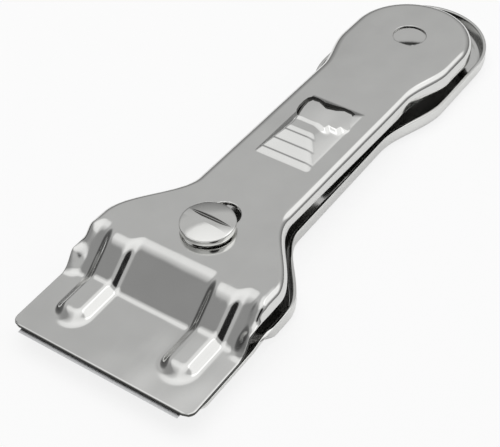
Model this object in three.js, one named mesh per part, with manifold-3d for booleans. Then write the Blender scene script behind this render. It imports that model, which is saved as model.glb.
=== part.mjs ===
// Glass scraper: two pressed steel shells clamped around a flat blade by one slotted screw.
// Millimetres. +X to the right, +Y from the blade back to the hanging end, +Z up.
// Lengths along Y are measured back from the front edge of the upper shell; the finished
// group is then moved so that its origin lies under the middle of the whole object.
import * as THREE from 'three';
import { mergeVertices } from 'three/addons/utils/BufferGeometryUtils.js';
import Module from 'manifold-3d';

const wasm = await Module();
wasm.setup();

// Sheet metal and the sandwich at the blade
const SHEET = 0.8;
const BLADE_CLEARANCE = 0.08;

// What both shells share: the wide plate that grips the blade and the bend along the edges
const PLATE_HALF_WIDTH = 22;
const PLATE_CORNER_RADIUS = 2;
const BEND_RADIUS = 2.1;

// Upper shell: plate, step, sloping handle and round hanging end
const STEP_START = 17.3;
const STEP_END = 26;
const STEP_RISE = 7;
const STEP_ROUNDING = 2;
const HANDLE_FALL_DEG = 1.8;
const UPPER_FLANGE_SHOULDER = 3.4;
const UPPER_FLANGE_NECK = 2.8;
const UPPER_FLANGE_REAR = 4.5;
const SHOULDER_START = 29.5;
const NECK = 49;
const UPPER_HANDLE_HALF_WIDTH = 11.85;
const UPPER_SWELL_START = 96.5;
const UPPER_SWELL_END = 110.5;
const UPPER_END_RADIUS = 14.7;
const UPPER_END_CENTRE = 117.2;

// Stiffening beads that run from the plate up over the step
const BEAD_OFFSET = 13;
const BEAD_FRONT = 5.5;
const BEAD_HEIGHT = 1.9;
const BEAD_CREST = 1.6;
const BEAD_FOOT = 3.6;

// The step climbs earlier along both side edges than in the middle
const SIDE_LIFT = 1.9;
const SIDE_LIFT_INNER = 17;
const SIDE_LIFT_OUTER = 21;
const SIDE_LIFT_RUN = 2;

// Thumb ramp pressed up from the handle, and the window behind its lip
const THUMB_FRONT = 61.8;
const THUMB_CREST = 71.5;
const THUMB_HEIGHT = 2.1;
const THUMB_LEFT_FOOT = -6.2;
const THUMB_LEFT_CREST = -3.5;
const THUMB_RIGHT_FOOT = 7.4;
const THUMB_RIGHT_CREST = 2;
const WINDOW_LIP = 74.8;
const WINDOW_LIP_HALF_WIDTH = 3.5;
const WINDOW_SHOULDER = 78.6;
const WINDOW_HALF_WIDTH = 7;
const WINDOW_REAR = 85;
const WINDOW_REAR_CHAMFER = 1.6;

// Lower shell: a shallow tray that stands back from the upper one
const LOWER_SETBACK = 3.2;
const LOWER_DEPTH = 4.2;
const LOWER_STEP_END = 23;
const LOWER_HANDLE_HALF_WIDTH = 11.3;
const LOWER_SWELL_START = 82.8;
const LOWER_SWELL_END = 101.8;
const LOWER_END_RADIUS = 16.2;
const LOWER_END_CENTRE = 118.6;
const HANG_HOLE_RADIUS = 3.85;

// Blade: plain strip with a ground edge, located by two half-sheared pegs of the lower plate
const BLADE_WIDTH = 39;
const BLADE_DEPTH = 18.4;
const BLADE_THICKNESS = 0.25;
const BLADE_PROJECTION = 0.8;
const BEVEL_LENGTH = 1.4;
const EDGE_THICKNESS = 0.03;
const PEG_OFFSET = 10;
const PEG_BEHIND_EDGE = 12;
const PEG_RADIUS = 1.8;
const PEG_CLEARANCE = 0.2;

// Clamp: threaded bush riveted into the lower shell, washer and slotted screw
const SCREW_Y = 36.5;
const SLIDE_FORWARD = 5;
const SLIDE_BACK = 2;
const BUSH_RADIUS = 3.6;
const BUSH_TOP_BELOW_FACE = 0.3;
const SPIGOT_RADIUS = 3;
const SLOT_CLEARANCE = 0.2;
const SEAT_CLEARANCE = 0.06;
const FIT_CLEARANCE = 0.05;
const THREAD_RADIUS = 2.5;
const THREAD_CLEARANCE = 0.1;
const SHANK_TIP_HEIGHT = 1.2;
const WASHER_RADIUS = 5;
const WASHER_THICKNESS = 0.3;
const HEAD_RADIUS = 5.85;
const HEAD_SIDE = 1.4;
const HEAD_CHAMFER = 0.2;
const HEAD_DOME = 0.9;
const DRIVER_SLOT_WIDTH = 2.1;
const DRIVER_SLOT_DEPTH = 1.2;

// How finely round forms are divided
const ROUND_SEGMENTS = 48;
const BEND_SEGMENTS = 3;
const END_SEGMENTS = 12;
const STEP_SEGMENTS = 10;
const CORNER_SEGMENTS = 3;
const CURVE_SEGMENTS = 8;
const DOME_SEGMENTS = 4;
// How far a cutting tool runs past the face it cuts
const CUT_MARGIN = 1;

const HANDLE_SLOPE = Math.tan(THREE.MathUtils.degToRad(HANDLE_FALL_DEG));
const BEND_LENGTH = BEND_RADIUS * Math.PI / 2;

// Heights of the layers, from the underside of the lower shell upwards
const LOWER_PLATE_TOP = LOWER_DEPTH;
const BLADE_BOTTOM = LOWER_PLATE_TOP + BLADE_CLEARANCE;
const BLADE_TOP = BLADE_BOTTOM + BLADE_THICKNESS;
const UPPER_PLATE_TOP = BLADE_TOP + BLADE_CLEARANCE + SHEET;

const clamp01 = (value) => THREE.MathUtils.clamp(value, 0, 1);
const smoothBetween = (y, from, to) => THREE.MathUtils.smoothstep(y, from, to);

// Zero, then a straight rise of slope one, with a parabolic round where they meet
function roundedRise(y, rounding) {
  if (y <= -rounding) return 0;
  if (y >= rounding) return y;
  return (y + rounding) ** 2 / (4 * rounding);
}

function spread(from, to, count) {
  return Array.from({ length: count }, (_, i) => from + (to - from) * i / count);
}

// Only positions, shared corners merged, flat triangles dropped and faces turned outwards
function cleaned(geometry) {
  geometry.deleteAttribute('normal');
  geometry.deleteAttribute('uv');
  const merged = mergeVertices(geometry, 1e-4);
  const position = merged.attributes.position;
  const index = [];
  const corner = [new THREE.Vector3(), new THREE.Vector3(), new THREE.Vector3()];
  let volume = 0;
  for (let i = 0; i < merged.index.count; i += 3) {
    const triangle = [0, 1, 2].map((k) => merged.index.getX(i + k));
    if (new Set(triangle).size < 3) continue;
    index.push(...triangle);
    triangle.forEach((vertex, k) => corner[k].fromBufferAttribute(position, vertex));
    volume += corner[0].dot(corner[1].clone().cross(corner[2]));
  }
  if (volume < 0) index.reverse();
  merged.setIndex(index);
  return merged;
}

function toSolid(geometry) {
  const clean = cleaned(geometry);
  return new wasm.Manifold(new wasm.Mesh({
    numProp: 3,
    vertProperties: new Float32Array(clean.attributes.position.array),
    triVerts: new Uint32Array(clean.index.array),
  }));
}

function toGeometry(solid) {
  const mesh = solid.getMesh();
  const geometry = new THREE.BufferGeometry();
  geometry.setAttribute('position', new THREE.BufferAttribute(new Float32Array(mesh.vertProperties), 3));
  geometry.setIndex(Array.from(mesh.triVerts));
  return geometry;
}

// Upright prism of a plan outline, from one height to another
function prism(outline, bottom, top) {
  const geometry = new THREE.ExtrudeGeometry(outline, {
    depth: top - bottom,
    bevelEnabled: false,
    curveSegments: ROUND_SEGMENTS / 2,
  });
  geometry.translate(0, 0, bottom);
  return toSolid(geometry);
}

function discOutline(x, y, radius) {
  const outline = new THREE.Shape();
  outline.absarc(x, y, radius, 0, 2 * Math.PI);
  return outline;
}

// Solid of revolution about an upright axis through (x, y); profile points are [radius, height]
function turned(profile, x, y) {
  const geometry = new THREE.LatheGeometry(profile.map(([r, z]) => new THREE.Vector2(r, z)), ROUND_SEGMENTS);
  geometry.rotateX(Math.PI / 2);
  geometry.translate(x, y, 0);
  return toSolid(geometry);
}

// Lift of the step towards the side edges
function sideLift(x, y) {
  const outwards = smoothBetween(Math.abs(x), SIDE_LIFT_INNER, SIDE_LIFT_OUTER);
  return SIDE_LIFT * outwards * smoothBetween(y, STEP_START - SIDE_LIFT_RUN, STEP_START + SIDE_LIFT_RUN);
}

// Height of the beads above the plate: a flat crest with sloping flanks and a round front end
function beadHeight(x, y) {
  const along = Math.max(BEAD_FRONT + BEAD_FOOT - y, 0);
  const distance = Math.hypot(Math.abs(x) - BEAD_OFFSET, along);
  return BEAD_HEIGHT * clamp01((BEAD_FOOT - distance) / (BEAD_FOOT - BEAD_CREST));
}

// Height of the thumb ramp above the handle: the lowest of its front, left and right slopes
function thumbHeight(x, y) {
  const front = (y - THUMB_FRONT) / (THUMB_CREST - THUMB_FRONT);
  const left = (x - THUMB_LEFT_FOOT) / (THUMB_LEFT_CREST - THUMB_LEFT_FOOT);
  const right = (THUMB_RIGHT_FOOT - x) / (THUMB_RIGHT_FOOT - THUMB_RIGHT_CREST);
  const behind = (WINDOW_REAR - y) / (WINDOW_REAR - WINDOW_SHOULDER);
  return THUMB_HEIGHT * clamp01(Math.min(front, left, right, behind));
}

const upperForm = {
  length: UPPER_END_CENTRE + UPPER_END_RADIUS,
  stepEnd: STEP_END,
  rise: STEP_RISE,
  slope: HANDLE_SLOPE,
  flangeShoulder: UPPER_FLANGE_SHOULDER,
  flangeNeck: UPPER_FLANGE_NECK,
  flangeRear: UPPER_FLANGE_REAR,
  handleHalfWidth: UPPER_HANDLE_HALF_WIDTH,
  swellStart: UPPER_SWELL_START,
  swellEnd: UPPER_SWELL_END,
  endRadius: UPPER_END_RADIUS,
  endCentre: UPPER_END_CENTRE,
  lift: (x, y) => Math.max(beadHeight(x, y), sideLift(x, y)),
  relief: thumbHeight,
  columns: [
    0,
    (BEAD_OFFSET - BEAD_FOOT) / 3,
    (BEAD_OFFSET - BEAD_FOOT) * 2 / 3,
    BEAD_OFFSET - BEAD_FOOT,
    BEAD_OFFSET - BEAD_CREST,
    BEAD_OFFSET,
    BEAD_OFFSET + BEAD_CREST,
    BEAD_OFFSET + BEAD_FOOT,
  ],
  reliefStations: [
    BEAD_FRONT,
    BEAD_FRONT + BEAD_FOOT - BEAD_CREST,
    BEAD_FRONT + BEAD_FOOT,
    THUMB_FRONT,
    THUMB_CREST,
    WINDOW_LIP,
    WINDOW_SHOULDER,
    WINDOW_REAR,
  ],
};

// The lower shell is modelled the same way up and then turned over
const lowerForm = {
  length: LOWER_END_CENTRE + LOWER_END_RADIUS,
  stepEnd: LOWER_STEP_END,
  rise: LOWER_DEPTH - SHEET,
  slope: 0,
  flangeShoulder: LOWER_DEPTH,
  flangeNeck: LOWER_DEPTH,
  flangeRear: LOWER_DEPTH,
  handleHalfWidth: LOWER_HANDLE_HALF_WIDTH,
  swellStart: LOWER_SWELL_START,
  swellEnd: LOWER_SWELL_END,
  endRadius: LOWER_END_RADIUS,
  endCentre: LOWER_END_CENTRE,
  lift: () => 0,
  relief: () => 0,
  columns: [0],
  reliefStations: [],
};

// Plane of the handle's face above the plate, carried on to any station
function handlePlane(form, y) {
  return form.rise - form.slope * (y - form.stepEnd);
}

// Height of the pressed face above the plate: flat, step, handle; a lift raises it up to the handle
function faceHeight(form, y, lift) {
  const climb = form.rise / (form.stepEnd - STEP_START);
  const turnOver = climb + form.slope;
  const onStep = climb * roundedRise(y - STEP_START, STEP_ROUNDING);
  const overTop = turnOver * roundedRise(y - form.stepEnd + lift / turnOver, STEP_ROUNDING);
  return onStep - overTop + lift;
}

function halfWidthAt(form, y) {
  if (y < PLATE_CORNER_RADIUS) {
    const inset = PLATE_CORNER_RADIUS - y;
    return PLATE_HALF_WIDTH - PLATE_CORNER_RADIUS + Math.sqrt(PLATE_CORNER_RADIUS ** 2 - inset ** 2);
  }
  const neck = THREE.MathUtils.lerp(
    PLATE_HALF_WIDTH, form.handleHalfWidth, smoothBetween(y, SHOULDER_START, NECK));
  const swell = smoothBetween(y, form.swellStart, form.swellEnd);
  return neck + (form.endRadius - form.handleHalfWidth) * swell;
}

// Drop of the sheet's edge when the bend turns it down by an angle and a straight flange follows
function edgeDrop(turn, flange) {
  return BEND_LENGTH / turn * (1 - Math.cos(turn)) + flange * Math.sin(turn);
}

// Depth of the rim below the face: shallowest at the neck
function flangeDepth(form, y) {
  const toNeck = clamp01((y - form.stepEnd) / (NECK - form.stepEnd));
  const toRear = clamp01((y - NECK) / (form.length - NECK));
  return form.flangeShoulder + (form.flangeNeck - form.flangeShoulder) * toNeck
    + (form.flangeRear - form.flangeNeck) * toRear;
}

// Half cross-section from the middle to the rim, as offsets across and below the face
function halfSection(form, y, halfWidth) {
  const depth = flangeDepth(form, y);
  const plane = handlePlane(form, y);
  const start = Math.max(0, plane - depth);
  const edge = faceHeight(form, y, form.lift(PLATE_HALF_WIDTH, y));
  const formed = clamp01((edge - start) / (plane - start));
  const flange = depth - BEND_RADIUS;
  let low = 1e-4;
  let high = Math.PI / 2;
  for (let i = 0; i < 40 && formed < 1; i += 1) {
    const middle = (low + high) / 2;
    if (edgeDrop(middle, flange) < depth * formed) low = middle;
    else high = middle;
  }
  const turn = high;
  const radius = BEND_LENGTH / turn;
  const flat = halfWidth - radius * Math.sin(turn) - flange * Math.cos(turn);
  const flatAtPlate = PLATE_HALF_WIDTH - BEND_LENGTH - flange;
  const squeeze = Math.min(1, flat / flatAtPlate);
  const section = form.columns.map((x) => ({ x: x * squeeze, drop: 0 }));
  for (let i = 0; i <= BEND_SEGMENTS; i += 1) {
    const angle = turn * i / BEND_SEGMENTS;
    section.push({ x: flat + radius * Math.sin(angle), drop: radius * (1 - Math.cos(angle)) });
  }
  const last = section[section.length - 1];
  section.push({ x: last.x + flange * Math.cos(turn), drop: last.drop + flange * Math.sin(turn) });
  return section;
}

function stationsOf(form) {
  const list = [
    0,
    ...spread(0, PLATE_CORNER_RADIUS, CORNER_SEGMENTS),
    PLATE_CORNER_RADIUS,
    ...spread(STEP_START - STEP_ROUNDING, form.stepEnd + STEP_ROUNDING, STEP_SEGMENTS),
    form.stepEnd + STEP_ROUNDING,
    ...spread(SHOULDER_START, NECK, CURVE_SEGMENTS),
    NECK,
    ...spread(form.swellStart, form.swellEnd, CURVE_SEGMENTS),
    form.swellEnd,
    form.endCentre,
    ...form.reliefStations,
  ];
  const sorted = list.filter((y) => y <= form.endCentre).sort((a, b) => a - b);
  return sorted.filter((y, i) => i === 0 || y - sorted[i - 1] > 1e-3);
}

// Outer face of a pressed shell: rows across the length, then the last half row swept round the end
function pressedFace(form) {
  const points = [];
  const index = [];
  const addPoint = (x, y, drop, raised) => {
    const relief = raised ? form.relief(x, y) : 0;
    points.push(x, y, faceHeight(form, y, form.lift(x, y)) + relief - drop);
    return points.length / 3 - 1;
  };
  const addQuad = (a, b, c, d) => {
    if (a !== b) index.push(a, b, c);
    if (c !== d) index.push(a, c, d);
  };
  const joinRows = (before, after) => {
    for (let i = 0; i + 1 < before.length; i += 1) {
      addQuad(before[i], before[i + 1], after[i + 1], after[i]);
    }
  };
  let previous = null;
  for (const y of stationsOf(form)) {
    const half = halfSection(form, y, halfWidthAt(form, y));
    const left = half.slice(1).reverse();
    const row = [
      ...left.map(({ x, drop }) => addPoint(-x, y, drop, drop === 0)),
      ...half.map(({ x, drop }) => addPoint(x, y, drop, drop === 0)),
    ];
    if (previous) joinRows(previous, row);
    previous = row;
  }
  const middle = (previous.length - 1) / 2;
  let spoke = previous.slice(middle);
  const lastSpoke = previous.slice(0, middle + 1).reverse();
  for (let k = 1; k <= END_SEGMENTS; k += 1) {
    const angle = Math.PI * k / END_SEGMENTS;
    const rimY = form.endCentre + form.endRadius * Math.sin(angle);
    const half = halfSection(form, rimY, form.endRadius).slice(1);
    const fresh = half.map(({ x, drop }) => addPoint(
      x * Math.cos(angle), form.endCentre + x * Math.sin(angle), drop, false));
    const next = k === END_SEGMENTS ? lastSpoke : [spoke[0], ...fresh];
    joinRows(spoke, next);
    spoke = next;
  }
  const geometry = new THREE.BufferGeometry();
  geometry.setAttribute('position', new THREE.Float32BufferAttribute(points, 3));
  geometry.setIndex(index);
  return geometry;
}

// Sheet of even thickness under an outer face, closed along its free edges
function sheetUnder(face) {
  face.computeVertexNormals();
  const { position, normal } = face.attributes;
  const count = position.count;
  const points = Array.from(position.array);
  for (let i = 0; i < count; i += 1) {
    points.push(
      position.getX(i) - SHEET * normal.getX(i),
      position.getY(i) - SHEET * normal.getY(i),
      position.getZ(i) - SHEET * normal.getZ(i));
  }
  const outer = Array.from(face.index.array);
  const index = [...outer];
  const edges = new Set();
  for (let i = 0; i < outer.length; i += 3) {
    const [a, b, c] = outer.slice(i, i + 3);
    index.push(c + count, b + count, a + count);
    [[a, b], [b, c], [c, a]].forEach(([from, to]) => edges.add(`${from} ${to}`));
  }
  for (const edge of edges) {
    const [from, to] = edge.split(' ').map(Number);
    if (edges.has(`${to} ${from}`)) continue;
    index.push(to, from, from + count, to, from + count, to + count);
  }
  const geometry = new THREE.BufferGeometry();
  geometry.setAttribute('position', new THREE.Float32BufferAttribute(points, 3));
  geometry.setIndex(index);
  return geometry;
}

function makeUpperShell() {
  let shell = toSolid(sheetUnder(pressedFace(upperForm)));
  const top = STEP_RISE + THUMB_HEIGHT + CUT_MARGIN;
  const slotRadius = BUSH_RADIUS + SLOT_CLEARANCE;
  const slot = new THREE.Shape();
  slot.absarc(0, SCREW_Y + SLIDE_FORWARD, slotRadius, 0, Math.PI);
  slot.absarc(0, SCREW_Y - SLIDE_BACK, slotRadius, Math.PI, 2 * Math.PI);
  const rearHalf = WINDOW_HALF_WIDTH - WINDOW_REAR_CHAMFER;
  const window = new THREE.Shape([
    new THREE.Vector2(-WINDOW_LIP_HALF_WIDTH, WINDOW_LIP),
    new THREE.Vector2(WINDOW_LIP_HALF_WIDTH, WINDOW_LIP),
    new THREE.Vector2(WINDOW_HALF_WIDTH, WINDOW_SHOULDER),
    new THREE.Vector2(WINDOW_HALF_WIDTH, WINDOW_REAR - WINDOW_REAR_CHAMFER),
    new THREE.Vector2(rearHalf, WINDOW_REAR),
    new THREE.Vector2(-rearHalf, WINDOW_REAR),
    new THREE.Vector2(-WINDOW_HALF_WIDTH, WINDOW_REAR - WINDOW_REAR_CHAMFER),
    new THREE.Vector2(-WINDOW_HALF_WIDTH, WINDOW_SHOULDER),
  ]);
  const hangHole = discOutline(0, UPPER_END_CENTRE, HANG_HOLE_RADIUS);
  for (const outline of [slot, window, hangHole]) {
    shell = shell.subtract(prism(outline, -CUT_MARGIN, top));
  }
  return toGeometry(shell);
}

function makeLowerShell() {
  const turnedOver = sheetUnder(pressedFace(lowerForm)).scale(1, 1, -1);
  turnedOver.translate(0, LOWER_SETBACK, LOWER_PLATE_TOP - SHEET);
  let shell = toSolid(turnedOver);
  const hangHole = discOutline(0, LOWER_SETBACK + LOWER_END_CENTRE, HANG_HOLE_RADIUS);
  const bushHole = discOutline(0, SCREW_Y, SPIGOT_RADIUS + FIT_CLEARANCE);
  for (const outline of [hangHole, bushHole]) {
    shell = shell.subtract(prism(outline, -CUT_MARGIN, LOWER_DEPTH));
  }
  const pegRise = BLADE_TOP - LOWER_PLATE_TOP;
  for (const side of [-1, 1]) {
    const x = side * PEG_OFFSET;
    const y = PEG_BEHIND_EDGE - BLADE_PROJECTION;
    const peg = prism(discOutline(x, y, PEG_RADIUS), LOWER_PLATE_TOP - SHEET / 2, BLADE_TOP);
    const underside = LOWER_PLATE_TOP - SHEET;
    const recess = prism(discOutline(x, y, PEG_RADIUS), underside - CUT_MARGIN, underside + pegRise);
    shell = shell.add(peg).subtract(recess);
  }
  return toGeometry(shell);
}

function makeBlade() {
  const middle = BLADE_THICKNESS / 2;
  const half = EDGE_THICKNESS / 2;
  const profile = new THREE.Shape([
    new THREE.Vector2(0, middle - half),
    new THREE.Vector2(BEVEL_LENGTH, 0),
    new THREE.Vector2(BLADE_DEPTH, 0),
    new THREE.Vector2(BLADE_DEPTH, BLADE_THICKNESS),
    new THREE.Vector2(BEVEL_LENGTH, BLADE_THICKNESS),
    new THREE.Vector2(0, middle + half),
  ]);
  const strip = new THREE.ExtrudeGeometry(profile, { depth: BLADE_WIDTH, bevelEnabled: false });
  strip.applyMatrix4(new THREE.Matrix4().set(
    0, 0, 1, -BLADE_WIDTH / 2,
    1, 0, 0, -BLADE_PROJECTION,
    0, 1, 0, BLADE_BOTTOM,
    0, 0, 0, 1));
  let blade = toSolid(strip);
  for (const side of [-1, 1]) {
    const outline = discOutline(
      side * PEG_OFFSET, PEG_BEHIND_EDGE - BLADE_PROJECTION, PEG_RADIUS + PEG_CLEARANCE);
    blade = blade.subtract(prism(outline, BLADE_BOTTOM - CUT_MARGIN, BLADE_TOP + CUT_MARGIN));
  }
  return toGeometry(blade);
}

// Height of the upper shell's face at the screw, and the lowest seat that clears it over the slide
const FACE_AT_SCREW = UPPER_PLATE_TOP + handlePlane(upperForm, SCREW_Y);
const SEAT_HEIGHT = UPPER_PLATE_TOP + SEAT_CLEARANCE
  + handlePlane(upperForm, SCREW_Y - WASHER_RADIUS - SLIDE_BACK);
const HEAD_BOTTOM = SEAT_HEIGHT + WASHER_THICKNESS + FIT_CLEARANCE;
const BORE_RADIUS = THREAD_RADIUS + THREAD_CLEARANCE;

function makeBush() {
  const top = FACE_AT_SCREW - BUSH_TOP_BELOW_FACE;
  const shoulder = SHEET + FIT_CLEARANCE;
  return toGeometry(turned([
    [BORE_RADIUS, FIT_CLEARANCE],
    [SPIGOT_RADIUS, FIT_CLEARANCE],
    [SPIGOT_RADIUS, shoulder],
    [BUSH_RADIUS, shoulder],
    [BUSH_RADIUS, top],
    [BORE_RADIUS, top],
    [BORE_RADIUS, FIT_CLEARANCE],
  ], 0, SCREW_Y));
}

function makeWasher() {
  const top = SEAT_HEIGHT + WASHER_THICKNESS;
  return toGeometry(turned([
    [BORE_RADIUS, SEAT_HEIGHT],
    [WASHER_RADIUS, SEAT_HEIGHT],
    [WASHER_RADIUS, top],
    [BORE_RADIUS, top],
    [BORE_RADIUS, SEAT_HEIGHT],
  ], 0, SCREW_Y));
}

function makeScrew() {
  const rim = HEAD_BOTTOM + HEAD_SIDE;
  const sphere = (HEAD_RADIUS ** 2 + HEAD_DOME ** 2) / (2 * HEAD_DOME);
  const reach = Math.asin(HEAD_RADIUS / sphere);
  const dome = spread(reach, 0, DOME_SEGMENTS).map(
    (angle) => [sphere * Math.sin(angle), rim + sphere * (Math.cos(angle) - 1) + HEAD_DOME]);
  const body = turned([
    [0, SHANK_TIP_HEIGHT],
    [THREAD_RADIUS, SHANK_TIP_HEIGHT],
    [THREAD_RADIUS, HEAD_BOTTOM],
    [HEAD_RADIUS - HEAD_CHAMFER, HEAD_BOTTOM],
    [HEAD_RADIUS, HEAD_BOTTOM + HEAD_CHAMFER],
    ...dome,
    [0, rim + HEAD_DOME],
  ], 0, SCREW_Y);
  const top = rim + HEAD_DOME;
  const slotLength = 2 * HEAD_RADIUS + CUT_MARGIN;
  const driver = new THREE.BoxGeometry(slotLength, DRIVER_SLOT_WIDTH, DRIVER_SLOT_DEPTH + CUT_MARGIN);
  driver.translate(0, SCREW_Y, top - DRIVER_SLOT_DEPTH + (DRIVER_SLOT_DEPTH + CUT_MARGIN) / 2);
  return toGeometry(body.subtract(toSolid(driver)));
}

function metal(colour, roughness) {
  return new THREE.MeshStandardMaterial({ color: colour, roughness, metalness: 1 });
}

function piece(name, geometry, material, height = 0) {
  const mesh = new THREE.Mesh(geometry, material);
  mesh.name = name;
  mesh.position.z = height;
  return mesh;
}

const scraper = new THREE.Group();
scraper.add(piece('lower_shell', makeLowerShell(), metal(0xb2b1ae, 0.3)));
scraper.add(piece('clamp_bush', makeBush(), metal(0xa6a49d, 0.4)));
scraper.add(piece('blade', makeBlade(), metal(0xc4c5c6, 0.2)));
scraper.add(piece('upper_shell', makeUpperShell(), metal(0xb6b5b2, 0.25), UPPER_PLATE_TOP));
scraper.add(piece('clamp_washer', makeWasher(), metal(0xa9a8a5, 0.35)));
scraper.add(piece('clamp_screw', makeScrew(), metal(0xcac9c5, 0.15)));

const REAR = LOWER_SETBACK + LOWER_END_CENTRE + LOWER_END_RADIUS;
scraper.position.y = -(REAR - BLADE_PROJECTION) / 2;

export default scraper;
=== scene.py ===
import math

import bpy
import numpy as np
from mathutils import Matrix, Vector


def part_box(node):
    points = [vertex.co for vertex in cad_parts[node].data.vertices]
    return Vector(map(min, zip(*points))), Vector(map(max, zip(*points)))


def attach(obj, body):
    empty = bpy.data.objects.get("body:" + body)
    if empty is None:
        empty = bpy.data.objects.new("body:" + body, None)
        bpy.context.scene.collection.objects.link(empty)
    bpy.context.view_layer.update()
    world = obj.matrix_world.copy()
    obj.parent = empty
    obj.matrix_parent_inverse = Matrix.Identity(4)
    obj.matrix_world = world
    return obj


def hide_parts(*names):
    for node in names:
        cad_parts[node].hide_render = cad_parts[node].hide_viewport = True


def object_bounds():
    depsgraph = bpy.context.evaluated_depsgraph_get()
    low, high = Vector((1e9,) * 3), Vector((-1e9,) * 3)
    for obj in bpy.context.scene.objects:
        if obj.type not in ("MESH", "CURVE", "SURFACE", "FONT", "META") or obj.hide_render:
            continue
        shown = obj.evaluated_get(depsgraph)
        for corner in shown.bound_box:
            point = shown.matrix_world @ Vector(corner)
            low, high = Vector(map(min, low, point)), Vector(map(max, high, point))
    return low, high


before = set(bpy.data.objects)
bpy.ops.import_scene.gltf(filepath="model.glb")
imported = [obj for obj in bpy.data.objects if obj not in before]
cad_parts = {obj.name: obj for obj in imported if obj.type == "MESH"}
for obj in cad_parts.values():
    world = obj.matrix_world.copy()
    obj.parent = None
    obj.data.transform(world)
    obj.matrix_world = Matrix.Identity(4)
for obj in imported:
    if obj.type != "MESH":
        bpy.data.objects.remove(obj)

cad_low, cad_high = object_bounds()

# Lower shell
# A shallow tray pressed from thin steel sheet, lying open side up with its floor on the table.
# Its edges are bent up into a rim, its front end is stepped up to carry the blade,
# and the whole pressing is nickel plated and polished.
MM = 0.001
SHEET = 0.8
EDGE_ROUND = 0.2
PLATE_HALF_WIDTH = 22.0
PLATE_CORNER_RADIUS = 2.0
BEND_RADIUS = 2.1
BEND_LENGTH = BEND_RADIUS * math.pi / 2
STEP_START = 17.3
STEP_ROUNDING = 2.0
STEP_FOOT_ROUNDING = 0.8
SHOULDER_START = 29.5
NECK = 49.0
LOWER_SETBACK = 3.2
LOWER_DEPTH = 4.2
LOWER_STEP_END = 23.0
LOWER_HANDLE_HALF_WIDTH = 11.3
LOWER_END_RADIUS = 16.2
LOWER_END_CENTRE = 118.6
LOWER_SWELL = (82.8, 101.8)
HANG_HOLE_RADIUS = 3.85
LOWER_HANG_HOLE_Y = 121.8
SCREW_Y = 36.5
BUSH_HOLE_RADIUS = 3.05
PEG_PLACES = ((-10.0, 11.2), (10.0, 11.2))
PEG_RADIUS = 1.8
PEG_ROOT = 0.3
PEG_PARTS = 40
SHEET_WAVINESS = 0.00025
PLATED_GREY = (0.80, 0.80, 0.785)

FRONT_EDGE_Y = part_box("upper_shell")[0].y / MM
LOWER_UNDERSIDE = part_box("lower_shell")[0].z / MM
PEG_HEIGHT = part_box("blade")[1].z / MM - LOWER_UNDERSIDE - LOWER_DEPTH


def smooth_step(value, start, end):
    t = np.clip((np.asarray(value, float) - start) / (end - start), 0.0, 1.0)
    return t * t * (3.0 - 2.0 * t)


def rounded_rise(value, rounding):
    """Zero, then a straight rise of slope one, with a soft round where they meet."""
    value = np.asarray(value, float)
    soft = (value + rounding) ** 2 / (4.0 * rounding)
    return np.where(value <= -rounding, 0.0, np.where(value >= rounding, value, soft))


def face_height(form, y, lift):
    climb = form["rise"] / (form["step_end"] - STEP_START)
    turn_over = climb + form["slope"]
    on_step = climb * rounded_rise(y - STEP_START, STEP_FOOT_ROUNDING)
    over_top = turn_over * rounded_rise(y - form["step_end"] + lift / turn_over, STEP_ROUNDING)
    return on_step - over_top + lift


def half_width(form, y):
    if y < PLATE_CORNER_RADIUS:
        inset = PLATE_CORNER_RADIUS - y
        return PLATE_HALF_WIDTH - PLATE_CORNER_RADIUS + math.sqrt(PLATE_CORNER_RADIUS ** 2 - inset ** 2)
    neck = PLATE_HALF_WIDTH + (form["handle"] - PLATE_HALF_WIDTH) * smooth_step(y, SHOULDER_START, NECK)
    return float(neck + (form["end_radius"] - form["handle"]) * smooth_step(y, *form["swell"]))


def half_section(form, y, width):
    """Half a cross-section, from the middle to the rim: places across it and drops below the face."""
    shoulder, neck, rear = form["flange"]
    depth = float(np.interp(y, (form["step_end"], NECK, form["end_centre"] + form["end_radius"]),
                            (shoulder, neck, rear)))
    plane = form["rise"] - form["slope"] * (y - form["step_end"])
    start = max(0.0, plane - depth)
    edge = float(face_height(form, y, form["lift"](np.array(PLATE_HALF_WIDTH), np.array(y))))
    formed = min(max((edge - start) / (plane - start), 0.0), 1.0)
    flange = depth - BEND_RADIUS
    low, turn = 1e-4, math.pi / 2
    for _ in range(40 if formed < 1.0 else 0):
        middle = (low + turn) / 2
        if BEND_LENGTH / middle * (1 - math.cos(middle)) + flange * math.sin(middle) < depth * formed:
            low = middle
        else:
            turn = middle
    radius = BEND_LENGTH / turn
    flat = width - radius * math.sin(turn) - flange * math.cos(turn)
    angle = np.linspace(0.0, turn, form["bend_parts"] + 1)[1:]
    along = np.linspace(0.0, flange, 4)[1:]
    across = np.concatenate((np.linspace(0.0, flat, form["flat_parts"] + 1), flat + radius * np.sin(angle),
                             flat + radius * math.sin(turn) + along * math.cos(turn)))
    drop = np.concatenate((np.zeros(form["flat_parts"] + 1), radius * (1 - np.cos(angle)),
                           radius * (1 - math.cos(turn)) + along * math.sin(turn)))
    return across, drop


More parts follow.
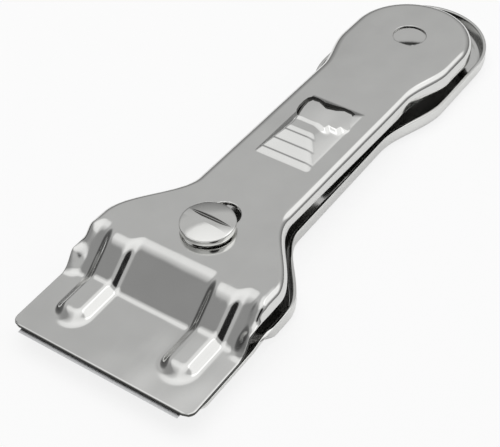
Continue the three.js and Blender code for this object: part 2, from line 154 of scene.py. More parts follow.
def pressed_sheet(form):
    """Points and faces of a pressed sheet of even thickness with softly rounded edges."""
    rows = []
    for y in form["rows"]:
        across, drop = half_section(form, y, half_width(form, y))
        across = np.concatenate((-across[:0:-1], across))
        drop = np.concatenate((drop[:0:-1], drop))
        place = np.full_like(across, y)
        height = face_height(form, place, form["lift"](across, place)) - drop
        rows.append(np.stack((across, place, height + form["relief"](across, place)), 1))
    grid = np.array(rows)
    row_count, column_count = grid.shape[:2]
    middle = column_count // 2
    number = np.arange(row_count * column_count).reshape(row_count, column_count)
    faces = [(number[i, j], number[i, j + 1], number[i + 1, j + 1], number[i + 1, j])
             for i in range(row_count - 1) for j in range(column_count - 1)]
    points = list(grid.reshape(-1, 3))
    spoke = list(number[-1, middle:])
    last_spoke = list(number[-1, middle::-1])
    end_rim = []
    for k in range(1, form["end_parts"] + 1):
        angle = math.pi * k / form["end_parts"]
        if k == form["end_parts"]:
            fresh = last_spoke
        else:
            rim_y = form["end_centre"] + form["end_radius"] * math.sin(angle)
            across, drop = half_section(form, rim_y, form["end_radius"])
            x, y = across[1:] * math.cos(angle), form["end_centre"] + across[1:] * math.sin(angle)
            height = face_height(form, y, 0.0) - drop[1:]
            fresh = [spoke[0]] + list(range(len(points), len(points) + len(x)))
            points.extend(np.stack((x, y, height), 1))
            end_rim.append(fresh[-1])
        faces.append((spoke[0], spoke[1], fresh[1]))
        for j in range(1, len(spoke) - 1):
            faces.append((spoke[j], spoke[j + 1], fresh[j + 1], fresh[j]))
        spoke = fresh
    points = np.array(points)
    normal = np.zeros_like(points)
    for face in faces:
        a, b, c = points[face[0]], points[face[1]], points[face[-1]]
        if len(face) == 4:
            normal[list(face)] += np.cross(points[face[2]] - a, c - b)
        else:
            normal[list(face)] += np.cross(b - a, c - a)
    normal /= np.linalg.norm(normal, axis=1)[:, None]

    rim = np.array(list(number[0]) + list(number[1:, -1]) + end_rim + list(number[:0:-1, 0]))
    along = np.roll(points[rim], -1, 0) - np.roll(points[rim], 1, 0)
    outwards = np.cross(along, normal[rim])
    outwards /= np.linalg.norm(outwards, axis=1)[:, None]
    points[rim] -= EDGE_ROUND * outwards
    count, face_count = len(points), len(faces)
    layers = [points, points - SHEET * normal]
    faces = faces + [tuple(n + count for n in reversed(face)) for face in faces]
    loops = [rim]
    for depth, side in ((0.0, 1), (SHEET, -1)):
        arcs = [math.radians(a) for a in ((30, 60, 90) if side > 0 else (90, 60, 30))]
        for arc in arcs:
            layers.append(points[rim] - normal[rim] * (depth + side * EDGE_ROUND * (1 - math.cos(arc)))
                          + outwards * EDGE_ROUND * math.sin(arc))
            loops.append(np.arange(len(rim)) + 2 * count + (len(layers) - 3) * len(rim))
    loops.append(rim + count)
    for upper, lower in zip(loops, loops[1:]):
        for i in range(len(rim)):
            k = (i + 1) % len(rim)
            faces.append((upper[i], lower[i], lower[k], upper[k]))
    return np.concatenate(layers), faces, face_count


def piece_from(name, points, faces, materials=()):
    """A smooth-shaded mesh object from points in millimetres counted from the upper shell's front edge."""
    mesh = bpy.data.meshes.new(name)
    placed = (np.asarray(points) + (0.0, FRONT_EDGE_Y, LOWER_UNDERSIDE)) * MM
    mesh.from_pydata(placed.tolist(), [], [tuple(int(n) for n in face) for face in faces])
    mesh.validate()
    mesh.shade_smooth()
    for material in materials:
        mesh.materials.append(material)
    piece = bpy.data.objects.new(name, mesh)
    bpy.context.scene.collection.objects.link(piece)
    return piece


def ring_outline(x, y, radius, reach=0.0, parts=64):
    """Round hole, or a slot with round ends where reach is half the distance between their centres."""
    angle = np.linspace(0.0, 2 * math.pi, parts, endpoint=False) + math.pi / parts
    shift = np.where(np.sin(angle) > 0, reach, -reach)
    return lambda grow: np.stack((x + (radius + grow) * np.cos(angle),
                                  y + shift + (radius + grow) * np.sin(angle)), 1)


def punch(outline, face, rim_round, materials=()):
    """Cutting tool for a hole in a sheet whose upper face has the given height, with rounded rims."""
    flare_slope, flare_height, straight_height = math.tan(math.radians(60)), 0.6, 4.0
    levels = [(0.0, SHEET / 2)]
    for arc in (90, 60, 30):
        a = math.radians(arc)
        levels.append((rim_round * (1 - math.sin(a)), rim_round * (1 - math.cos(a))))
    levels.append((levels[-1][0] + flare_slope * flare_height, levels[-1][1] - flare_height))
    if rim_round == 0.0:
        levels = [(0.0, SHEET / 2), (0.0, -straight_height)]
    profile = levels[:0:-1] + [(grow, SHEET - depth) for grow, depth in levels[1:]]
    points, faces = [], []
    for grow, depth in profile:
        plan = outline(grow)
        points.append(np.column_stack((plan, face(plan[:, 1]) - depth)))
    size = len(points[0])
    for i in range(len(profile) - 1):
        for j in range(size):
            k = (j + 1) % size
            faces.append((i * size + j, i * size + size + j, i * size + size + k, i * size + k))
    faces.append(tuple(range(size)))
    faces.append(tuple(range(len(profile) * size - 1, len(profile) * size - size - 1, -1)))
    tool = piece_from("punch", np.concatenate(points), faces, materials)
    # Where materials are given, the hole's walls take the last of them; for the window that is the darkened
    # steel standing in for shade.
    for side in tool.data.polygons:
        side.material_index = max(len(materials) - 1, 0)
    return tool


def cut(piece, tools, operation="DIFFERENCE"):
    """Applies the tools to the piece and removes them. The manifold solver bears tight inner bends."""
    for tool in tools:
        change = piece.modifiers.new("cut", "BOOLEAN")
        change.operation = operation
        change.solver = "MANIFOLD"
        change.object = tool
        bpy.context.view_layer.objects.active = piece
        bpy.ops.object.modifier_apply(modifier=change.name)
        bpy.data.objects.remove(tool)
    piece.data.shade_smooth()
    piece.data.set_sharp_from_angle(angle=math.radians(40))


def plated_steel(name, colour, roughness, grain_scale, grain_depth, waviness=0.0):
    """Steel with a soft cloudy polish, fine drawn lines and hairline marks, on sheet never quite flat."""
    material = bpy.data.materials.new(name)
    material.use_nodes = True
    nodes, links = material.node_tree.nodes, material.node_tree.links
    shader = nodes["Principled BSDF"]
    shader.inputs["Metallic"].default_value = 1.0
    place = nodes.new("ShaderNodeTexCoord")

    def noise(scale, detail, stretch):
        mapping = nodes.new("ShaderNodeMapping")
        mapping.inputs["Scale"].default_value = stretch
        links.new(place.outputs["Object"], mapping.inputs["Vector"])
        texture = nodes.new("ShaderNodeTexNoise")
        texture.inputs["Scale"].default_value = scale
        texture.inputs["Detail"].default_value = detail
        links.new(mapping.outputs["Vector"], texture.inputs["Vector"])
        return texture.outputs["Fac"]

    def ranged(value, low, high, from_low=0.3, from_high=0.7):
        node = nodes.new("ShaderNodeMapRange")
        node.inputs["From Min"].default_value = from_low
        node.inputs["From Max"].default_value = from_high
        node.inputs["To Min"].default_value = low
        node.inputs["To Max"].default_value = high
        links.new(value, node.inputs["Value"])
        return node.outputs["Result"]

    def mixed(kind, first, second):
        node = nodes.new("ShaderNodeMath")
        node.operation = kind
        for socket, value in zip(node.inputs, (first, second)):
            if isinstance(value, float):
                socket.default_value = value
            else:
                links.new(value, socket)
        return node.outputs["Value"]

    cloud_scale, hairline_scale, swell_scale = 120.0, 420.0, 75.0
    clouds = noise(cloud_scale, 4.0, (1.0, 1.0, 1.0))
    drawn = noise(grain_scale, 2.0, (1.0, 0.05, 1.0))
    hairlines = noise(hairline_scale, 1.0, (1.0, 0.035, 1.0))
    tint = nodes.new("ShaderNodeMix")
    tint.data_type = "RGBA"
    tint.inputs["A"].default_value = (*[c * 0.95 for c in colour], 1.0)
    tint.inputs["B"].default_value = (*colour, 1.0)
    links.new(ranged(clouds, 0.0, 1.0), tint.inputs["Factor"])
    links.new(tint.outputs["Result"], shader.inputs["Base Color"])
    polish = mixed("ADD", ranged(clouds, roughness * 0.85, roughness * 1.15),
                   ranged(drawn, 0.0, roughness * 0.25))
    marks = ranged(hairlines, 0.0, 0.06, 0.66, 0.72)
    links.new(mixed("ADD", polish, marks), shader.inputs["Roughness"])
    bump = nodes.new("ShaderNodeBump")
    bump.inputs["Strength"].default_value = 1.0
    bump.inputs["Distance"].default_value = grain_depth
    links.new(mixed("ADD", drawn, mixed("MULTIPLY", clouds, 2.0)), bump.inputs["Height"])
    if waviness > 0.0:
        swell = nodes.new("ShaderNodeBump")
        swell.inputs["Strength"].default_value = 1.0
        swell.inputs["Distance"].default_value = waviness
        links.new(noise(swell_scale, 1.0, (1.0, 0.7, 1.0)), swell.inputs["Height"])
        links.new(swell.outputs["Normal"], bump.inputs["Normal"])
    links.new(bump.outputs["Normal"], shader.inputs["Normal"])
    return material


def no_lift(x, y):
    return np.zeros_like(x, dtype=float)


lower_form = {
    "rise": LOWER_DEPTH - SHEET, "step_end": LOWER_STEP_END, "slope": 0.0, "handle": LOWER_HANDLE_HALF_WIDTH,
    "swell": LOWER_SWELL, "end_radius": LOWER_END_RADIUS, "end_centre": LOWER_END_CENTRE,
    "flange": (LOWER_DEPTH, LOWER_DEPTH, LOWER_DEPTH), "lift": no_lift, "relief": no_lift,
    "flat_parts": 14, "bend_parts": 8, "end_parts": 64,
    "rows": np.concatenate((np.array([0.0, 0.45, 0.9, 1.4]), np.arange(2.0, LOWER_END_CENTRE, 0.9),
                            [LOWER_END_CENTRE])),
}
plated_sheet = plated_steel("plated_sheet", PLATED_GREY, 0.1, 1500.0, 0.0000012, SHEET_WAVINESS)
points, faces, face_count = pressed_sheet(lower_form)
points[:, 1] += LOWER_SETBACK
points[:, 2] = LOWER_DEPTH - SHEET - points[:, 2]
faces = [tuple(reversed(face)) for face in faces]
lower_shell = piece_from("lower_shell_pressing", points, faces, [plated_sheet])


def floor_face(y):
    return np.full_like(y, SHEET)


cut(lower_shell, [punch(ring_outline(0.0, LOWER_HANG_HOLE_Y, HANG_HOLE_RADIUS), floor_face, EDGE_ROUND),
                  punch(ring_outline(0.0, SCREW_Y, BUSH_HOLE_RADIUS), floor_face, 0.0)])
pegs = []
for peg_x, peg_y in PEG_PLACES:
    angle = np.linspace(0.0, 2 * math.pi, PEG_PARTS, endpoint=False)
    profile = ((PEG_RADIUS, -PEG_ROOT), (PEG_RADIUS, PEG_HEIGHT - 0.15),
               (PEG_RADIUS - 0.05, PEG_HEIGHT - 0.05), (PEG_RADIUS - 0.15, PEG_HEIGHT))
    rings = [np.column_stack((peg_x + r * np.cos(angle), peg_y + r * np.sin(angle),
                              np.full(PEG_PARTS, LOWER_DEPTH + z))) for r, z in profile]
    number = np.arange(len(profile) * PEG_PARTS).reshape(len(profile), PEG_PARTS)
    peg_faces = [(number[i, j], number[i, (j + 1) % PEG_PARTS], number[i + 1, (j + 1) % PEG_PARTS],
                  number[i + 1, j]) for i in range(len(profile) - 1) for j in range(PEG_PARTS)]
    peg_faces += [tuple(number[0, ::-1]), tuple(number[-1])]
    pegs.append(piece_from("peg", np.concatenate(rings), peg_faces))
cut(lower_shell, pegs, "UNION")
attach(lower_shell, "base")
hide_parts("lower_shell")

# Clamp bush
# A turned and plated steel bush, riveted into the lower shell's floor and threaded inside.
# It fills the upper shell's slot and carries the screw.
BUSH_GREY = (0.62, 0.61, 0.585)
clamp_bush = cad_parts["clamp_bush"]
clamp_bush.data.materials.clear()
clamp_bush.data.materials.append(plated_steel("turned_steel", BUSH_GREY, 0.28, 900.0, 0.000008))

# Blade
# A flat strip of hardened steel, ground bright on both sides with a bevelled edge in front.
# Two round holes sit on the lower shell's pegs.
BLADE_GREY = (0.74, 0.745, 0.755)
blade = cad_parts["blade"]
blade.data.materials.clear()
blade.data.materials.append(plated_steel("ground_steel", BLADE_GREY, 0.3, 2600.0, 0.00001))

# Upper shell
# The main pressing, of the same plated sheet: a flat blade plate with two stiffening beads,
# a step up to the handle, a slot for the screw, a stepped thumb ramp pressed up in front of
# a sheared window, and a round end with a hang hole. Its edges are bent down.
STEP_END = 26.0
STEP_RISE = 7.0
HANDLE_SLOPE = math.tan(math.radians(1.8))
UPPER_FLANGE = (3.4, 2.8, 4.5)
UPPER_HANDLE_HALF_WIDTH = 11.85
UPPER_SWELL = (96.5, 110.5)
UPPER_END_RADIUS = 14.7
UPPER_END_CENTRE = 117.2
BEAD_OFFSET, BEAD_FRONT, BEAD_HEIGHT, BEAD_CREST, BEAD_FOOT = 13.0, 5.2, 1.6, 2.2, 3.9
BEAD_SOFTNESS, BEAD_FRONT_RUN = 0.38, 0.7
SIDE_LIFT, SIDE_LIFT_INNER, SIDE_LIFT_OUTER, SIDE_LIFT_RUN = 1.9, 18.6, 22.0, 2.0
THUMB_FRONT, THUMB_HEIGHT = 61.8, 2.1
THUMB_STEPS = (63.8, 66.9, 70.0)
THUMB_STEP_DROP, THUMB_STEP_RUN = 0.26, 0.42
THUMB_TREAD_SLOPE = 0.30
THUMB_LEFT_FOOT, THUMB_LEFT_SLOPE = -6.2, THUMB_HEIGHT / 2.7
THUMB_RIGHT_FOOT, THUMB_RIGHT_SLOPE = 7.4, THUMB_HEIGHT / 5.4
THUMB_REAR, THUMB_REAR_SLOPE = 85.0, THUMB_HEIGHT / 6.4
SLOT_RADIUS, SLOT_MIDDLE, SLOT_REACH = 3.8, 38.0, 3.5
WINDOW_EDGE = ((-3.6, 74.7), (-2.3, 74.85), (-0.3, 74.75), (1.9, 74.8), (3.3, 74.6), (3.5, 75.9),
               (4.3, 76.05), (5.2, 76.35), (5.45, 77.6), (6.4, 77.85), (7.1, 78.3), (6.3, 80.4),
               (5.7, 82.2), (5.5, 83.9), (3.8, 84.75), (1.9, 84.85), (-0.1, 84.25), (-2.4, 83.95),
               (-4.6, 84.7), (-6.2, 84.6), (-6.85, 83.7), (-7.05, 82.2), (-7.0, 80.3), (-6.6, 78.6))
TONGUE_TOP, TONGUE_TILT, TONGUE_GROWTH = 0.5, 0.15, 1.12
LIP_CORNERS, LIP_CURL, LIP_CURL_REACH = 11, 0.35, 0.7
LIP_CURL_FULL_AT = 0.6
RAMP_CREST_ROUND, RAMP_RIGHT_ROUND, RAMP_LEFT_ROUND, RAMP_REAR_ROUND = 0.08, 0.4, 0.15, 0.1
RAMP_FOOT_ROUND = 0.16
CREASE_DEPTH, CREASE_REACH = 0.02, 0.14
SLOT_RIM_ROUND = 0.15
# Painted shade: the upper shell's underside, the lower part of its cut edges and the window's walls are
# plated like the rest, but take this near-black grey to stand in for the shade between the shells and under
# the edges.
PAINTED_SHADE_GREY = (0.10, 0.10, 0.095)
BLADE_CLEARANCE = 0.08
UPPER_PLATE_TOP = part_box("blade")[1].z / MM - LOWER_UNDERSIDE + BLADE_CLEARANCE + SHEET


def bead_and_side_lift(x, y):
    """Two beads with round front ends, and the plate's side edges raised where the step begins."""
    along = np.maximum(BEAD_FRONT + BEAD_FOOT - y, 0.0)
    distance = np.hypot(np.abs(x) - BEAD_OFFSET, along)
    run = BEAD_FOOT - BEAD_CREST + BEAD_FRONT_RUN * (along / np.maximum(distance, 1e-6)) ** 2
    flank = (BEAD_FOOT - distance) / run
    bead = BEAD_HEIGHT * (rounded_rise(flank, BEAD_SOFTNESS) - rounded_rise(flank - 1.0, BEAD_SOFTNESS))
    side = smooth_step(np.abs(x), SIDE_LIFT_INNER, SIDE_LIFT_OUTER)
    side = SIDE_LIFT * side * smooth_step(y, STEP_START - SIDE_LIFT_RUN, STEP_START + SIDE_LIFT_RUN)
    return np.maximum(bead, side)


def lower_of(first, second, rounding):
    return first - rounded_rise(first - second, rounding)


def torn_curl(x, y):
    """Small upward curl of the sheet along the torn front edge of the window."""
    corners = np.array(WINDOW_EDGE[:LIP_CORNERS])
    nearest = np.full(x.shape, 1e3)
    for start, end in zip(corners, corners[1:]):
        way = end - start
        t = np.clip(((x - start[0]) * way[0] + (y - start[1]) * way[1]) / way.dot(way), 0.0, 1.0)
        nearest = np.minimum(nearest, np.hypot(x - start[0] - t * way[0], y - start[1] - t * way[1]))
    return LIP_CURL * np.exp(-(nearest / LIP_CURL_REACH) ** 2)


def thumb_ramp(x, y):
    """Stepped ramp rising towards the window, with a slope at each side and behind."""
    front = THUMB_TREAD_SLOPE * (y - THUMB_FRONT)
    for step in THUMB_STEPS:
        riser = smooth_step(y, step - THUMB_STEP_RUN / 2, step + THUMB_STEP_RUN / 2)
        front = front - THUMB_STEP_DROP * riser
    height = lower_of(front, np.full_like(x, THUMB_HEIGHT), RAMP_CREST_ROUND)
    height = lower_of(height, THUMB_RIGHT_SLOPE * (THUMB_RIGHT_FOOT - x), RAMP_RIGHT_ROUND)
    height = lower_of(height, THUMB_LEFT_SLOPE * (x - THUMB_LEFT_FOOT), RAMP_LEFT_ROUND)
    height = lower_of(height, THUMB_REAR_SLOPE * (THUMB_REAR - y), RAMP_REAR_ROUND)
    crease = CREASE_DEPTH * np.exp(-(height / CREASE_REACH) ** 2)
    return rounded_rise(height, RAMP_FOOT_ROUND) - crease


upper_form = {
    "rise": STEP_RISE, "step_end": STEP_END, "slope": HANDLE_SLOPE, "handle": UPPER_HANDLE_HALF_WIDTH,
    "swell": UPPER_SWELL, "end_radius": UPPER_END_RADIUS, "end_centre": UPPER_END_CENTRE,
    "flange": UPPER_FLANGE, "lift": bead_and_side_lift, "relief": thumb_ramp,
    "flat_parts": 56, "bend_parts": 10, "end_parts": 96,
    "rows": np.concatenate((np.array([0.0, 0.45, 0.9, 1.4]), np.arange(2.0, 60.0, 0.45),
                            np.arange(60.0, 86.0, 0.21), np.arange(86.0, UPPER_END_CENTRE, 0.8),
                            [UPPER_END_CENTRE])),
}
# This material is painted shade, not a duller finish of the steel: near black, for faces that lie in shade.
painted_shade_steel = plated_steel("painted_shade_steel", PAINTED_SHADE_GREY, 0.45, 600.0, 0.00001)
points, faces, face_count = pressed_sheet(upper_form)
points[:, 2] += UPPER_PLATE_TOP
upper_shell = piece_from("upper_shell_pressing", points, faces, [plated_sheet, painted_shade_steel])
# The top two of the seven strips round each cut edge keep the plated colour; the rest of the edge and the
# whole underside take the painted shade material.
bright_edge_strips, all_edge_strips = 2, 7
first_edge_face = 2 * face_count
edge_faces = len(faces) - first_edge_face
first_shaded_edge_face = first_edge_face + edge_faces * bright_edge_strips // all_edge_strips
for face in upper_shell.data.polygons:
    inside = face_count <= face.index < first_edge_face
    face.material_index = 1 if inside or face.index >= first_shaded_edge_face else 0


def handle_face(y):
    return UPPER_PLATE_TOP + STEP_RISE - HANDLE_SLOPE * (y - STEP_END)


def window_outline(grow):
    """The torn window's corners and their midpoints. Its sheared edge has no rounding, so it never grows."""
    corners = np.array(WINDOW_EDGE)
    midpoints = 0.5 * corners + 0.5 * np.roll(corners, -1, 0)
    return np.stack((corners, midpoints), 1).reshape(-1, 2)


# The window's sheared walls take the painted shade material, as a dark band where the hole's wall lies in
# shade.
cut(upper_shell, [punch(ring_outline(0.0, SLOT_MIDDLE, SLOT_RADIUS, SLOT_REACH), handle_face, SLOT_RIM_ROUND),
                  punch(ring_outline(0.0, UPPER_END_CENTRE, HANG_HOLE_RADIUS), handle_face, EDGE_ROUND),
                  punch(window_outline, handle_face, 0.0, [plated_sheet, painted_shade_steel])])
corners = np.array([v.co for v in upper_shell.data.vertices]) / MM - (0.0, FRONT_EDGE_Y, LOWER_UNDERSIDE)
ramp = thumb_ramp(corners[:, 0], corners[:, 1])
curl = torn_curl(corners[:, 0], corners[:, 1]) * np.clip(ramp / LIP_CURL_FULL_AT, 0.0, 1.0)
for corner, rise in zip(upper_shell.data.vertices, curl):
    corner.co.z += rise * MM
plan = window_outline(0.0)
middle = plan.mean(0)
plan = middle + (plan - middle) * TONGUE_GROWTH
size = len(plan)
tongue_face = handle_face(plan[:, 1]) - TONGUE_TOP - TONGUE_TILT * (THUMB_REAR - plan[:, 1])
points = [np.column_stack((plan, tongue_face - depth)) for depth in (SHEET, 0.0)]
faces = [(j, (j + 1) % size, size + (j + 1) % size, size + j) for j in range(size)]
faces += [tuple(range(size - 1, -1, -1)), tuple(range(size, 2 * size))]
cut(upper_shell, [piece_from("tongue", np.concatenate(points), faces, [plated_sheet, painted_shade_steel])], "UNION")
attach(upper_shell, "upper")
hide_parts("upper_shell")

# Clamp washer
# A thin stamped and plated steel washer, loose between the bush and the screw's head.
# It rises with the screw when the screw is loosened.
WASHER_GREY = (0.64, 0.64, 0.63)
clamp_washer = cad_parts["clamp_washer"]
clamp_washer.data.materials.clear()
clamp_washer.data.materials.append(plated_steel("stamped_steel", WASHER_GREY, 0.25, 1200.0, 0.000006))

# Clamp screw
# A bright plated steel screw with a wide low domed head, turned, with a milled driver slot
# across it and a rolled thread of 0.8 mm pitch that runs in the bush.
HEAD_RADIUS, HEAD_SIDE, HEAD_CHAMFER, HEAD_DOME = 5.85, 1.4, 0.22, 0.9
DRIVER_SLOT_WIDTH, DRIVER_SLOT_DEPTH = 2.1, 0.75
THREAD_RADIUS, THREAD_DEPTH, THREAD_PITCH = 2.5, 0.42, 0.8
TIP_TAPER, TIP_TAPER_HEIGHT = 0.6, 0.8
ON_THREAD = -1.0
SCREW_PARTS = 96
SCREW_BRIGHT = (0.86, 0.86, 0.84)
# Painted shade: the driver slot's side walls are the same plated steel, given this dark grey to stand in for
# the shade inside the slot.
SLOT_WALL_SHADE_GREY = (0.16, 0.155, 0.15)
SCREW_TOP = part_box("clamp_screw")[1].z / MM - LOWER_UNDERSIDE
SCREW_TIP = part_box("clamp_screw")[0].z / MM - LOWER_UNDERSIDE
head_bottom = SCREW_TOP - HEAD_DOME - HEAD_SIDE
rim_height = head_bottom + HEAD_SIDE
dome_radius = (HEAD_RADIUS ** 2 + HEAD_DOME ** 2) / (2 * HEAD_DOME)

profile = [(0.0, SCREW_TIP), (THREAD_RADIUS - 0.7, SCREW_TIP)]
thread_heights = np.arange(SCREW_TIP + 0.1, head_bottom - 0.02, THREAD_PITCH / 10)
profile += [(ON_THREAD, z) for z in thread_heights]
profile += [(THREAD_RADIUS - 0.1, head_bottom), (HEAD_RADIUS - HEAD_CHAMFER, head_bottom)]
for arc in (30, 60, 90):
    a = math.radians(arc)
    profile.append((HEAD_RADIUS - HEAD_CHAMFER * (1 - math.sin(a)),
                    head_bottom + HEAD_CHAMFER * (1 - math.cos(a))))
profile += [(HEAD_RADIUS, rim_height - 0.3), (HEAD_RADIUS - 0.03, rim_height - 0.15),
            (HEAD_RADIUS - 0.1, rim_height)]
for r in np.linspace(HEAD_RADIUS - 0.3, 0.0, 16):
    profile.append((r, SCREW_TOP - dome_radius + math.sqrt(dome_radius ** 2 - r ** 2)))
angle = np.linspace(0.0, 2 * math.pi, SCREW_PARTS, endpoint=False)
points, faces = [], []
for radius, height in profile:
    if radius == ON_THREAD:
        phase = (height / THREAD_PITCH - angle / (2 * math.pi)) % 1.0
        fade = np.clip((height - SCREW_TIP) / TIP_TAPER_HEIGHT, 0.0, 1.0)
        wave = np.clip(np.abs(2 * phase - 1) * 1.25 - 0.1, 0.0, 1.0)
        radius = THREAD_RADIUS - TIP_TAPER * (1 - fade) - THREAD_DEPTH * wave * fade
    points.append(np.column_stack((radius * np.cos(angle), SCREW_Y + radius * np.sin(angle),
                                   np.full(SCREW_PARTS, height))))
for i in range(len(profile) - 1):
    for j in range(SCREW_PARTS):
        k = (j + 1) % SCREW_PARTS
        a, b = i * SCREW_PARTS, (i + 1) * SCREW_PARTS
        if i == 0:
            faces.append((0, b + k, b + j))
        elif i == len(profile) - 2:
            faces.append((a + j, a + k, b))
        else:
            faces.append((a + j, a + k, b + k, b + j))
bright_plate = plated_steel("bright_plate", SCREW_BRIGHT, 0.09, 700.0, 0.000006)
painted_shade_slot = plated_steel("painted_shade_slot", SLOT_WALL_SHADE_GREY, 0.35, 1800.0, 0.00002)
clamp_screw = piece_from("clamp_screw_turned", np.concatenate(points), faces, [bright_plate, painted_shade_slot])
half, floor = DRIVER_SLOT_WIDTH / 2, SCREW_TOP - DRIVER_SLOT_DEPTH
slot_profile = ((-half - 0.9, SCREW_TOP + 0.8), (-half - 0.12, SCREW_TOP - 0.02), (-half, SCREW_TOP - 0.16),
                (-half, floor + 0.12), (-half + 0.12, floor), (half - 0.12, floor), (half, floor + 0.12),
                (half, SCREW_TOP - 0.16), (half + 0.12, SCREW_TOP - 0.02), (half + 0.9, SCREW_TOP + 0.8))
count = len(slot_profile)
points = [(x, SCREW_Y + across, z) for x in (-HEAD_RADIUS - 1, HEAD_RADIUS + 1) for across, z in slot_profile]
faces = [(i, (i + 1) % count, count + (i + 1) % count, count + i) for i in range(count)]
faces += [tuple(range(count - 1, -1, -1)), tuple(range(count, 2 * count))]
cut(clamp_screw, [piece_from("slot_mill", points, faces)])
# The slot's side walls take the painted shade material.
for face in clamp_screw.data.polygons:
    beside_slot = abs(face.center.y / MM - FRONT_EDGE_Y - SCREW_Y) < half + 0.01
    if beside_slot and face.center.z / MM - LOWER_UNDERSIDE > floor - 0.01 and abs(face.normal.y) > 0.9:
        face.material_index = 1
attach(clamp_screw, "screw")
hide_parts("clamp_screw")

# Table
# A plain white sheet under the tool. It shows white to the camera, more faintly in the metal,
# and keeps a soft shadow under the tool.
TABLE_HALF, TABLE_GAP = 1.5, 0.0002
PAPER_WHITE = (0.86, 0.86, 0.86, 1.0)
WHITE_SEEN, WHITE_MIRRORED = 0.82, 0.2
table_mesh = bpy.data.meshes.new("table")
table_mesh.from_pydata([(-TABLE_HALF, -TABLE_HALF, 0.0), (TABLE_HALF, -TABLE_HALF, 0.0),
                        (TABLE_HALF, TABLE_HALF, 0.0), (-TABLE_HALF, TABLE_HALF, 0.0)], [], [(0, 1, 2, 3)])
table = bpy.data.objects.new("table", table_mesh)
table.location.z = cad_low.z - TABLE_GAP
bpy.context.scene.collection.objects.link(table)
paper = bpy.data.materials.new("white_paper")
paper.use_nodes = True
nodes, links = paper.node_tree.nodes, paper.node_tree.links
nodes.remove(nodes["Principled BSDF"])
matt = nodes.new("ShaderNodeBsdfDiffuse")
matt.inputs["Color"].default_value = PAPER_WHITE
glow = nodes.new("ShaderNodeEmission")
glow.inputs["Color"].default_value = (1.0, 1.0, 1.0, 1.0)
glow.inputs["Strength"].default_value = 1.0
path = nodes.new("ShaderNodeLightPath")
seen = nodes.new("ShaderNodeMath")
seen.operation = "MAXIMUM"
links.new(path.outputs["Is Camera Ray"], seen.inputs[0])
links.new(path.outputs["Is Transmission Ray"], seen.inputs[1])
direct = nodes.new("ShaderNodeMath")
direct.operation = "MULTIPLY"
direct.inputs[1].default_value = WHITE_SEEN
links.new(seen.outputs["Value"], direct.inputs[0])
share = nodes.new("ShaderNodeMath")
share.operation = "MULTIPLY_ADD"
share.inputs[1].default_value = WHITE_MIRRORED
links.new(path.outputs["Is Glossy Ray"], share.inputs[0])
links.new(direct.outputs["Value"], share.inputs[2])
blend = nodes.new("ShaderNodeMixShader")
links.new(share.outputs["Value"], blend.inputs["Fac"])
links.new(matt.outputs["BSDF"], blend.inputs[1])
links.new(glow.outputs["Emission"], blend.inputs[2])
links.new(blend.outputs["Shader"], nodes["Material Output"].inputs["Surface"])
table_mesh.materials.append(paper)

# Light tent
# Soft white light from above, greyer towards the sides, with dark screens and one bright panel
# that the metal mirrors. The camera itself sees white past the table.
# Each tone has the height it stands at, from table level to straight above. Each screen or panel has
# its direction, how near to it it starts and is full, and the share of light it leaves or adds.
TENT_TONES = ((0.0, 0.12), (0.30, 0.34), (0.52, 0.48), (0.66, 0.48), (0.755, 0.46), (0.815, 0.80),
              (1.0, 0.92))
TENT_STRENGTH = 1.1
SURROUNDINGS_SEEN = 0.89
SOFTBOX_SIZE, SOFTBOX_PLACE, SOFTBOX_POWER = 0.9, (-0.15, 0.1, 0.9), 3.0
DARK_SCREENS = (((0.74, -0.47, 0.48), 0.94, 0.972, 0.03), ((-0.96, -0.05, 0.02), 0.80, 0.94, 0.33),
                ((-0.58, 0.74, 0.30), 0.942, 0.985, 0.75), ((-0.55, -0.65, 0.52), 0.72, 0.97, 0.58))
BRIGHT_PANEL = ((0.52, 0.52, 0.68), 0.88, 0.95, 0.5)
world = bpy.data.worlds.new("light_tent")
bpy.context.scene.world = world
world.use_nodes = True
nodes, links = world.node_tree.nodes, world.node_tree.links
background = nodes["Background"]
background.inputs["Strength"].default_value = TENT_STRENGTH
direction = nodes.new("ShaderNodeTexCoord")
split = nodes.new("ShaderNodeSeparateXYZ")
links.new(direction.outputs["Generated"], split.inputs["Vector"])
tones = nodes.new("ShaderNodeValToRGB")
for index, (place, tone) in enumerate(TENT_TONES):
    stops = tones.color_ramp.elements
    stop = stops[index] if index < 2 else stops.new(place)
    stop.position = place
    stop.color = (tone, tone, tone, 1.0)
links.new(split.outputs["Z"], tones.inputs["Fac"])


def soft_disc(towards, outer, inner, outside, inside):
    """A round soft-edged patch of the tent: one value outside it, another inside."""
    near = nodes.new("ShaderNodeVectorMath")
    near.operation = "DOT_PRODUCT"
    near.inputs[1].default_value = Vector(towards).normalized()
    links.new(direction.outputs["Generated"], near.inputs[0])
    disc = nodes.new("ShaderNodeMapRange")
    disc.interpolation_type = "SMOOTHSTEP"
    disc.inputs["From Min"].default_value = outer
    disc.inputs["From Max"].default_value = inner
    disc.inputs["To Min"].default_value = outside
    disc.inputs["To Max"].default_value = inside
    links.new(near.outputs["Value"], disc.inputs["Value"])
    return disc.outputs["Result"]


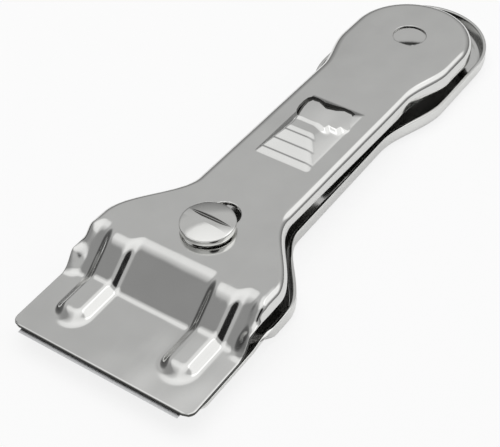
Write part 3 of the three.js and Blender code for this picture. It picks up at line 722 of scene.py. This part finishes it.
tone = tones.outputs["Color"]
for towards, outer, inner, kept in DARK_SCREENS:
    dim = nodes.new("ShaderNodeVectorMath")
    dim.operation = "SCALE"
    links.new(tone, dim.inputs[0])
    links.new(soft_disc(towards, outer, inner, 1.0, kept), dim.inputs["Scale"])
    tone = dim.outputs["Vector"]
towards, outer, inner, gain = BRIGHT_PANEL
added = nodes.new("ShaderNodeVectorMath")
added.operation = "ADD"
links.new(tone, added.inputs[0])
links.new(soft_disc(towards, outer, inner, 0.0, gain), added.inputs[1])
path = nodes.new("ShaderNodeLightPath")
surroundings = nodes.new("ShaderNodeMix")
surroundings.data_type = "RGBA"
surroundings.inputs["B"].default_value = (SURROUNDINGS_SEEN, SURROUNDINGS_SEEN, SURROUNDINGS_SEEN, 1.0)
links.new(path.outputs["Is Camera Ray"], surroundings.inputs["Factor"])
links.new(added.outputs["Vector"], surroundings.inputs["A"])
links.new(surroundings.outputs["Result"], background.inputs["Color"])
softbox = bpy.data.lights.new("softbox", "AREA")
softbox.shape = "DISK"
softbox.size = SOFTBOX_SIZE
softbox.energy = SOFTBOX_POWER
softbox_place = bpy.data.objects.new("softbox", softbox)
softbox_place.location = SOFTBOX_PLACE
softbox_place.visible_glossy = False
bpy.context.scene.collection.objects.link(softbox_place)

# Camera
# Close to the tool, above its front right corner, as in the photograph.
# It has no shift and no blur; the focal length is in pixels of a picture 500 wide.
CAMERA_AZIMUTH, CAMERA_ELEVATION, CAMERA_ROLL = 37.24, 43.93, -3.45
CAMERA_DISTANCE = 276.9
CAMERA_TARGET = (3.73, 45.52, 8.0)
CAMERA_FOCAL_PIXELS = 1345.5
IMAGE_WIDTH = 500
azimuth, elevation, roll = (math.radians(a) for a in (CAMERA_AZIMUTH, CAMERA_ELEVATION, CAMERA_ROLL))
backwards = Vector((math.sin(azimuth) * math.cos(elevation), -math.cos(azimuth) * math.cos(elevation),
                    math.sin(elevation)))
right = Vector((math.cos(azimuth), math.sin(azimuth), 0.0))
upwards = backwards.cross(right)
image_right = right * math.cos(roll) + upwards * math.sin(roll)
image_up = upwards * math.cos(roll) - right * math.sin(roll)
lens = bpy.data.cameras.new("camera")
lens.sensor_fit = "HORIZONTAL"
lens.sensor_width = 36.0
lens.lens = CAMERA_FOCAL_PIXELS / IMAGE_WIDTH * lens.sensor_width
lens.clip_start, lens.clip_end = 0.01, 10.0
camera = bpy.data.objects.new("camera", lens)
bpy.context.scene.collection.objects.link(camera)
target = (Vector(CAMERA_TARGET) + Vector((0.0, FRONT_EDGE_Y, LOWER_UNDERSIDE))) * MM
turn = Matrix((image_right, image_up, backwards)).transposed().to_4x4()
camera.matrix_world = Matrix.Translation(target + backwards * CAMERA_DISTANCE * MM) @ turn
bpy.context.scene.camera = camera
bpy.context.scene.view_settings.view_transform = "Standard"
